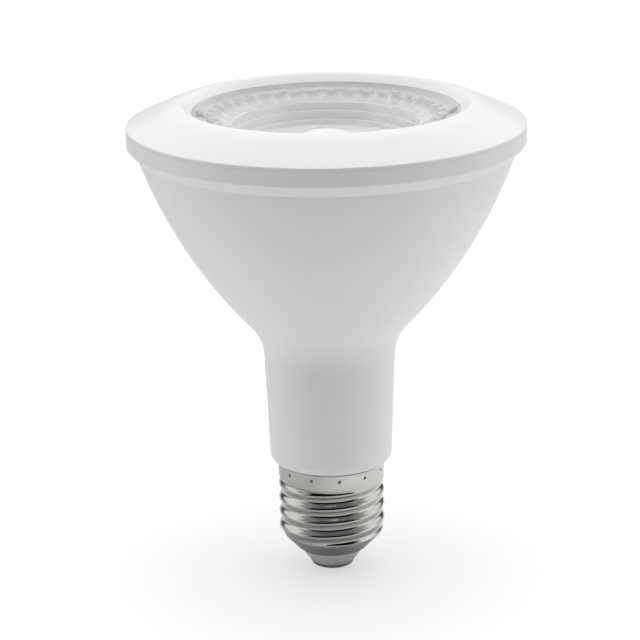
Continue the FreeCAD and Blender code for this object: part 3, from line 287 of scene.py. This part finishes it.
def lens_finish():
    """Clear moulded plastic with a slight haze, faintly wavy and polished outside.

    Light that a matt surface sends or receives goes nearly straight through, so that the space
    under the lens is lit as it is under clear plastic.
    """
    material, tree = finish_material("clear_lens")
    waves = tree.noise(tree.place(), 160.0, 2.0)
    ripple = tree.bump(waves, 4e-5)
    path = tree.add("ShaderNodeLightPath")
    matt = tree.math("MAXIMUM", path.outputs["Is Diffuse Ray"], path.outputs["Is Shadow Ray"])
    x, y, z = tree.split(tree.place())
    ring = tree.risen(tree.reach(x, y), LENS_DISH, LENS_RING)
    tree.principled(
        # Painted shade: the ring of beads and flutes gets a darker colour than the dish.
        Base_Color=tree.blended(ring, DISH_COLOUR, RING_PAINTED_SHADE_COLOUR),
        Roughness=tree.spread(waves, 0.08, 0.14, NOISE_LOW, NOISE_HIGH),
        IOR=1.45,
        Transmission_Weight=0.26,
        Subsurface_Weight=1.0,
        Subsurface_Radius=(1.0, 1.0, 1.0),
        Subsurface_Scale=0.016,
        Normal=ripple,
        Coat_Weight=0.5,
        Coat_Roughness=0.03,
        Coat_IOR=1.5,
        Coat_Normal=ripple,
        Alpha=tree.spread(matt, 1.0, MATT_ALPHA),
    )
    return material


def nickel_finish():
    """Bright nickel plate on rolled sheet, with drawing streaks round the axis."""
    material, tree = finish_material("nickel_plate")
    streaks = tree.noise(tree.stretched(tree.round_place(), (3.0, 900.0, 9000.0)), 1.0, 5.0)
    clouds = tree.noise(tree.place(), 240.0, 4.0)
    share = tree.spread(clouds, 0.0, 1.0, NOISE_LOW, NOISE_HIGH)
    tree.principled(
        Base_Color=tree.blended(share, (0.610, 0.608, 0.588), (0.565, 0.563, 0.545)),
        Roughness=tree.spread(streaks, 0.035, 0.075, NOISE_LOW, NOISE_HIGH),
        Metallic=1.0,
        Normal=tree.bump(streaks, 1.2e-6),
    )
    return material


def winding_finish(name, pitch, light, dark):
    """Turns of enamelled wire, which lie side by side at that pitch round their own core, with
    painted shade between the turns and a painted highlight on each crest.
    """
    material, tree = finish_material(name)
    x, y, z = tree.split(tree.place())
    turns = tree.math("SINE", tree.math("MULTIPLY", z, 2 * pi / pitch))
    tree.principled(
        # Painted shade and highlight: the colour is darker between turns and lighter on their
        # crests.
        Base_Color=tree.blended(tree.spread(turns, 0.0, 1.0, -1.0, 1.0), dark, light),
        Roughness=tree.spread(tree.noise(tree.place(), 900.0), 0.28, 0.42, NOISE_LOW, NOISE_HIGH),
        Metallic=0.8,
        Normal=tree.bump(turns, pitch / 6),
    )
    return material


# Mottled finishes: light and dark colour, scale of the drift, roughness from and to, height of the
# grain, and metallic share
MOTTLED = {
    "contact_nickel": ((0.56, 0.55, 0.52), (0.47, 0.46, 0.44), 700.0, (0.22, 0.36), 2e-6, 1.0),
    "insulator_grey": ((0.60, 0.60, 0.595), (0.55, 0.55, 0.546), 500.0, (0.30, 0.42), 4e-6),
    "drawn_aluminium": ((0.95, 0.95, 0.95), (0.93, 0.93, 0.93), 180.0, (0.44, 0.56), 3e-6, 0.05),
    "pad_grey": ((0.36, 0.37, 0.38), (0.32, 0.33, 0.34), 400.0, (0.6, 0.75), 1e-5),
    "board_aluminium": ((0.94, 0.94, 0.93), (0.92, 0.92, 0.91), 300.0, (0.32, 0.42), 2e-6),
    "dam_silicone": ((0.82, 0.82, 0.80), (0.78, 0.78, 0.76), 500.0, (0.35, 0.45), 4e-6),
    "phosphor_yellow": ((0.85, 0.62, 0.12), (0.80, 0.55, 0.08), 900.0, (0.30, 0.40), 4e-6),
    "screw_steel": ((0.60, 0.60, 0.59), (0.52, 0.52, 0.51), 900.0, (0.22, 0.34), 2e-6, 1.0),
    "board_green": ((0.035, 0.16, 0.06), (0.028, 0.13, 0.05), 350.0, (0.30, 0.42), 4e-6),
    "can_black": ((0.03, 0.03, 0.035), (0.02, 0.02, 0.025), 400.0, (0.30, 0.42), 3e-6),
    "film_red": ((0.42, 0.06, 0.03), (0.34, 0.045, 0.025), 400.0, (0.22, 0.34), 4e-6),
    "ferrite": ((0.075, 0.072, 0.07), (0.05, 0.048, 0.047), 800.0, (0.5, 0.65), 2e-5),
    "bobbin_black": ((0.03, 0.03, 0.03), (0.022, 0.022, 0.022), 500.0, (0.4, 0.5), 5e-6),
    "tape_yellow": ((0.78, 0.56, 0.08), (0.70, 0.48, 0.06), 600.0, (0.25, 0.38), 1e-5),
    "varistor_blue": ((0.03, 0.10, 0.36), (0.025, 0.08, 0.30), 500.0, (0.28, 0.4), 6e-6),
    "resistor_blue": ((0.10, 0.32, 0.48), (0.08, 0.27, 0.42), 500.0, (0.28, 0.4), 6e-6),
    "package_black": ((0.03, 0.03, 0.03), (0.024, 0.024, 0.024), 700.0, (0.45, 0.6), 6e-6),
    "lead_red": ((0.50, 0.03, 0.025), (0.44, 0.025, 0.02), 500.0, (0.35, 0.5), 4e-6),
    "lead_black": ((0.03, 0.03, 0.03), (0.02, 0.02, 0.02), 500.0, (0.35, 0.5), 4e-6),
    "lead_white": ((0.78, 0.78, 0.76), (0.72, 0.72, 0.70), 500.0, (0.35, 0.5), 4e-6),
}
WIRE_PITCH = 0.45 * MM


def finishes():
    """The finish of each material slot."""
    made = {name: mottled(name, *values) for name, values in MOTTLED.items()}
    made["housing_white"] = housing_finish()
    made["bezel_white"] = bezel_finish()
    made["clear_lens"] = lens_finish()
    made["nickel_plate"] = nickel_finish()
    made["copper_wire"] = winding_finish(
        "copper_wire", WIRE_PITCH, (0.72, 0.30, 0.13), (0.30, 0.10, 0.04))
    return made


def dress_nodes(finish):
    """Gives each node of the frame the finish of its material slot."""
    for node in nodes.values():
        for slot in node.material_slots:
            slot.material = finish[slot.material.name.split(".")[0]]


def light_ring(tree, turn, stops):
    """Brightness round the bulb, through stops of degrees and level."""
    ring = tree.add("ShaderNodeValToRGB")
    marks = ring.color_ramp.elements
    while len(marks) < len(stops):
        marks.new(1.0)
    for mark, (degrees, level) in zip(marks, stops):
        mark.position = degrees / 180
        mark.color = (level, level, level, 1.0)
    tree.put(ring.inputs[0], turn)
    return ring.outputs[0]


def light_tent():
    """The world: the tent as light and in reflections, plain white in view and through the lens.

    Reflections that look behind the bulb show plain white too, above the low band.
    """
    world = bpy.data.worlds.new("tent")
    bpy.context.scene.world = world
    tree = Tree(world)
    x, y, z = tree.split(tree.add("ShaderNodeTexCoord").outputs["Generated"])
    turn = tree.front_turn(x, y)
    low = light_ring(tree, turn, TENT_LOW)
    middle = light_ring(tree, turn, TENT_MIDDLE)
    path = tree.add("ShaderNodeLightPath")
    mirrored = path.outputs["Is Glossy Ray"]
    front = tree.math("SUBTRACT", 1.0, tree.risen(turn, FRONT_END, BEHIND_START))
    raised = tree.math("MULTIPLY", tree.math("MULTIPLY", front, mirrored), FRONT_RAISE)
    lifted = tree.math("ADD", z, tree.math("MULTIPLY", turn, MIDDLE_DROP_BEHIND))
    lifted = tree.math("SUBTRACT", lifted, raised)
    tent = tree.blended(tree.risen(lifted, MIDDLE_START, MIDDLE_END), low, middle)
    tent = tree.blended(tree.risen(z, TOP_START, TOP_END), tent, (TENT_TOP, TENT_TOP, TENT_TOP))
    share = tree.spread(x, TENT_LEVEL - SIDE_SHARE, TENT_LEVEL + SIDE_SHARE, -1.0, 1.0)
    share = tree.math("MULTIPLY", share, tree.spread(mirrored, 1.0, REFLECTED_SHARE))
    tent = tree.scaled(tent, share)
    above = tree.risen(z, BEHIND_HEIGHT - BEHIND_EDGE, BEHIND_HEIGHT + BEHIND_EDGE)
    behind = tree.math("MULTIPLY", tree.risen(turn, BEHIND_START, BEHIND_END), above)
    shown = tree.plain_view(path, tree.math("MULTIPLY", mirrored, behind))
    colour = tree.blended(shown, tent, BACKDROP_WHITE)
    background = tree.add("ShaderNodeBackground")
    tree.put(background.inputs["Color"], colour)
    background.inputs["Strength"].default_value = 1.0
    tree.link(background.outputs[0], tree.add("ShaderNodeOutputWorld").inputs["Surface"])


# The floor's own light in view makes up what its shaded colour lacks to white.
FLOOR_GLOW = 0.55
FLOOR_SEEN_COLOUR = (0.45, 0.45, 0.45)
# In reflections the floor is painted: painted shade dims it under the bulb, painted light makes it
# a little paler to the right than to the left, and a painted dark reflection lies in front beyond
# its lit middle.
FLOOR_PAINTED_REFLECTION = (0.72, 0.72, 0.72)
FLOOR_PAINTED_SHADE_UNDER_BULB = (0.50, 0.50, 0.50)
FLOOR_PAINTED_DARK_FRONT = (0.02, 0.02, 0.02)
UNDER_REACH = 0.010
CLEAR_REACH = 0.045
FLOOR_SIDE_SHARE = 0.20
FLOOR_SIDE_REACH = 0.05
LIT_REACH = 0.102
DARK_REACH = 0.110
DARK_TURN = 0.33
DARK_TURN_EDGE = 0.04


def lay_floor():
    """A round pale floor, white in view except for the bulb's soft shadow."""
    bpy.ops.mesh.primitive_circle_add(vertices=96, radius=FLOOR_RADIUS, fill_type="NGON")
    floor = bpy.context.object
    floor.name = "floor"
    material, tree = finish_material("pale_floor")
    path = tree.add("ShaderNodeLightPath")
    x, y, z = tree.split(tree.place())
    reach = tree.reach(x, y)
    # Painted dark reflection: in reflections the floor is darkened in front beyond its lit middle.
    beyond = tree.risen(reach, LIT_REACH, DARK_REACH)
    turn = tree.front_turn(x, y)
    aside = tree.risen(turn, DARK_TURN - DARK_TURN_EDGE, DARK_TURN + DARK_TURN_EDGE)
    dark = tree.math("MULTIPLY", beyond, tree.math("SUBTRACT", 1.0, aside))
    # Painted shade under the bulb and painted light to the right, seen in reflections only.
    clear = tree.risen(reach, UNDER_REACH, CLEAR_REACH)
    painted_side_light = tree.spread(
        x, 1.0 - FLOOR_SIDE_SHARE, 1.0 + FLOOR_SIDE_SHARE, -FLOOR_SIDE_REACH, FLOOR_SIDE_REACH)
    painted_reflection = tree.scaled(tree.blended(clear, FLOOR_PAINTED_SHADE_UNDER_BULB, FLOOR_PAINTED_REFLECTION), painted_side_light)
    painted_reflection = tree.blended(dark, painted_reflection, FLOOR_PAINTED_DARK_FRONT)
    plain = tree.add("ShaderNodeBsdfDiffuse")
    # Painted pool of light: the floor's colour for light is paler near the bulb than far from it.
    painted_light_pool = tree.blended(tree.risen(reach, NEAR_REACH, FAR_REACH), FLOOR_NEAR_PAINTED_LIGHT, FLOOR_FAR_COLOUR)
    tree.put(plain.inputs["Color"], tree.blended(path.outputs["Is Glossy Ray"], painted_light_pool, painted_reflection))
    shade = tree.add("ShaderNodeBsdfDiffuse")
    tree.put(shade.inputs["Color"], FLOOR_SEEN_COLOUR)
    glow = tree.add("ShaderNodeEmission")
    glow.inputs["Strength"].default_value = FLOOR_GLOW
    lit = tree.add("ShaderNodeAddShader")
    tree.link(shade.outputs[0], lit.inputs[0])
    tree.link(glow.outputs[0], lit.inputs[1])
    mixed = tree.add("ShaderNodeMixShader")
    tree.link(tree.plain_view(path), mixed.inputs[0])
    tree.link(plain.outputs[0], mixed.inputs[1])
    tree.link(lit.outputs[0], mixed.inputs[2])
    tree.surface(mixed.outputs[0])
    floor.data.materials.append(material)


# Bezel sizes in millimetres, as in the construction, but for the softer edge of its opening
RIM = 47.5
SEAM = 111.95
SHOULDER = 112.75
CROWN = 117.5
OPENING = 31.9
CROWN_START = 34.2
CROWN_CURVE = 12.0
WALL = 1.5
SKIRT = 45.65
SKIRT_FOOT = 110.2
EDGE_CURVE = 0.3
SEAM_CHAMFER = 0.12
LIP_FOOT = 115.81
LIP_SLANT = 0.3
SOFT_POWER = 1.2
# Steps along its outline's curves and round it, and the angle from which an edge shows sharp
CROWN_STEPS = 14
INNER_CROWN_STEPS = 10
EDGE_STEPS = 5
SOFT_STEPS = 12
BEZEL_COLUMNS = 240
SHARP_ANGLE = radians(32.0)


def bezel_outline():
    """Closed outline of the bezel as (radius, height), its slope tangent to the crown."""
    run = RIM - CROWN_START
    drop = CROWN_CURVE - (CROWN - SHOULDER)
    reach = run * run + drop * drop
    length = sqrt(reach - CROWN_CURVE ** 2)
    slope = atan2(CROWN_CURVE * run - drop * length, CROWN_CURVE * drop + run * length)
    centre = CROWN - CROWN_CURVE

    def crown(curve, steps):
        turns = [slope * step / steps for step in range(steps + 1)]
        return [(CROWN_START + curve * sin(turn), centre + curve * cos(turn)) for turn in turns]

    points = [(RIM - SEAM_CHAMFER, SEAM), (RIM, SEAM + SEAM_CHAMFER)]
    for step in range(EDGE_STEPS + 1):
        turn = (pi / 2 - slope) * step / EDGE_STEPS
        points.append((
            RIM - EDGE_CURVE * (1 - cos(turn)),
            SHOULDER - EDGE_CURVE * tan(pi / 4 - slope / 2) + EDGE_CURVE * sin(turn),
        ))
    points += reversed(crown(CROWN_CURVE, CROWN_STEPS))
    for step in range(SOFT_STEPS + 1):
        share = step / SOFT_STEPS
        points.append((
            CROWN_START + (OPENING - CROWN_START) * share,
            CROWN + (LIP_FOOT - CROWN) * share ** SOFT_POWER,
        ))
    points.append((CROWN_START - LIP_SLANT, LIP_FOOT))
    points += crown(CROWN_CURVE - WALL, INNER_CROWN_STEPS)
    inside = SKIRT - WALL
    points.append((inside, SHOULDER - WALL / cos(slope) + (RIM - inside) * tan(slope)))
    points += [(inside, SKIRT_FOOT), (SKIRT, SKIRT_FOOT), (SKIRT, SEAM)]
    return points


def turned_piece(name, outline, columns):
    """A mesh turned about the bulb's axis from a closed outline in millimetres."""
    rows = len(outline)
    points = []
    faces = []
    for column in range(columns):
        turn = 2 * pi * column / columns
        for radius, height in outline:
            points.append((radius * cos(turn) * MM, radius * sin(turn) * MM, height * MM))
        following = (column + 1) % columns
        for row in range(rows):
            after = (row + 1) % rows
            faces.append((
                column * rows + row, following * rows + row,
                following * rows + after, column * rows + after,
            ))
    mesh = bpy.data.meshes.new(name)
    mesh.from_pydata(points, [], faces)
    mesh.polygons.foreach_set("use_smooth", [True] * len(faces))
    mesh.set_sharp_from_angle(angle=SHARP_ANGLE)
    piece = bpy.data.objects.new(name, mesh)
    bpy.context.collection.objects.link(piece)
    return piece


def make_bezel(finish):
    """The trim ring with the soft edge of its opening and the fine chamfer at its seam."""
    bezel = turned_piece("bezel", bezel_outline(), BEZEL_COLUMNS)
    bezel.data.materials.append(finish["bezel_white"])
    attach(bezel, "root")
    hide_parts("bezel_ring")


place_camera()
light_tent()
lay_floor()
finish = finishes()
dress_nodes(finish)
make_bezel(finish)

bpy.context.scene.view_settings.view_transform = "Standard"
